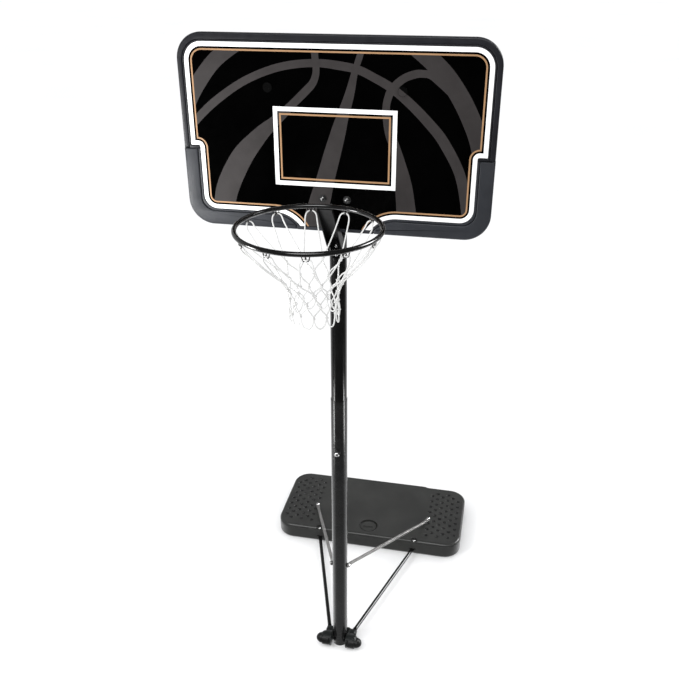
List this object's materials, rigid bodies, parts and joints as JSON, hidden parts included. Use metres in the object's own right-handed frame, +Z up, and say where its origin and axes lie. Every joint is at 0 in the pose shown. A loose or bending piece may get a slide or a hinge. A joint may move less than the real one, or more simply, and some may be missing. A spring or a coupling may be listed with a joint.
{
  "type": "portable basketball hoop",
  "caption": "Free-standing basketball hoop: black rectangular backboard, steel rim and white net on a telescoping pole, with a fillable base tank, struts and wheels.",
  "frame": {"origin": "on the ground, on the axis of the pole, at the underside of its foot plug", "axes": "+Z up, the court in front of the backboard is towards -Y, +X to the right seen from the court"},
  "size_m": [1.118, 1.9122, 2.821],
  "materials": {
    "tank_plastic": "fine grain blow-moulded, charcoal",
    "seal_rubber": "soft black",
    "cap_plastic": "moulded, charcoal",
    "pole_paint": "satin black powder coat",
    "upper_pole_paint": "gloss black powder coat",
    "foot_plastic": "moulded, dark grey",
    "wheel_plastic": "moulded, black",
    "zinc_steel": "zinc plated",
    "bright_bolt": "polished",
    "rod_paint": "gloss black",
    "strut_steel": "flat grey paint",
    "panel_black": "printed, gloss black",
    "frame_plastic": "satin dark grey",
    "pad_plastic": "satin dark grey",
    "bracket_paint": "satin black",
    "washer_rubber": "black",
    "plug_plastic": "gloss black",
    "rim_paint": "gloss black powder coat",
    "hook_paint": "gloss black",
    "net_cord": "white braided nylon cord"
  },
  "bodies": {
    "base": {"tank": "tank_plastic", "lower_pole": "pole_paint", "foot_plug": "foot_plastic", "wheel_carriage": "foot_plastic", "wheel_axles": "zinc_steel", "carriage_screw": "zinc_steel", "left_tie_rod": "rod_paint", "right_tie_rod": "rod_paint", "tie_rod_foot_bolts": "zinc_steel", "tie_rod_tank_bolts": "zinc_steel", "left_strut": "strut_steel", "right_strut": "strut_steel", "strut_pole_bolts": "bright_bolt", "strut_tank_bolts": "bright_bolt"},
    "head": {"upper_pole": "upper_pole_paint", "pole_cap": "foot_plastic", "board_panel": "panel_black", "board_frame": "frame_plastic", "lower_pad": "pad_plastic", "upper_crossbar": "bracket_paint", "lower_crossbar": "bracket_paint", "upper_pole_strap": "bracket_paint", "lower_pole_strap": "bracket_paint", "strap_bolts": "zinc_steel", "board_bolts": "bright_bolt", "board_bolt_washers": "washer_rubber", "upper_board_bolts": "zinc_steel", "hole_plugs": "plug_plastic", "rim_ring": "rim_paint", "rim_arm": "rim_paint", "rim_plate": "rim_paint", "rim_bolts": "bright_bolt", "net_hooks": "hook_paint", "net": "net_cord"},
    "left_wheel": {"left_wheel": "wheel_plastic"},
    "right_wheel": {"right_wheel": "wheel_plastic"},
    "lock_pin": {"lock_pin": "bright_bolt"},
    "cap_seal": {"filler_gasket": "seal_rubber"},
    "cap": {"filler_cap": "cap_plastic"}
  },
  "joints": [
    {"name": "pole_height", "type": "slide", "parent": "base", "child": "head", "axis": [0, 0, 1], "range_m": [0, 0.762]},
    {"name": "left_wheel_spin", "type": "hinge", "parent": "base", "child": "left_wheel", "pos_m": [-0.07, -0.03, 0.032], "axis": [1, 0, 0], "continuous": true},
    {"name": "right_wheel_spin", "type": "hinge", "parent": "base", "child": "right_wheel", "pos_m": [0.07, -0.03, 0.032], "axis": [1, 0, 0], "continuous": true},
    {"name": "lock_pin_push", "type": "slide", "parent": "base", "child": "lock_pin", "axis": [0, 1, 0], "range_m": [0, 0.0075]},
    {"name": "cap_lift", "type": "slide", "parent": "base", "child": "cap_seal", "axis": [0, 0, 1], "range_m": [0, 0.012]},
    {"name": "cap_turn", "type": "hinge", "parent": "cap_seal", "child": "cap", "pos_m": [0, 0.782, 0.08], "axis": [0, 0, 1], "range_deg": [0, 720]}
  ],
  "couplings": [
    {"joint": "cap_lift", "follows": "cap_turn", "m_per_rad": 0.00095}
  ]
}
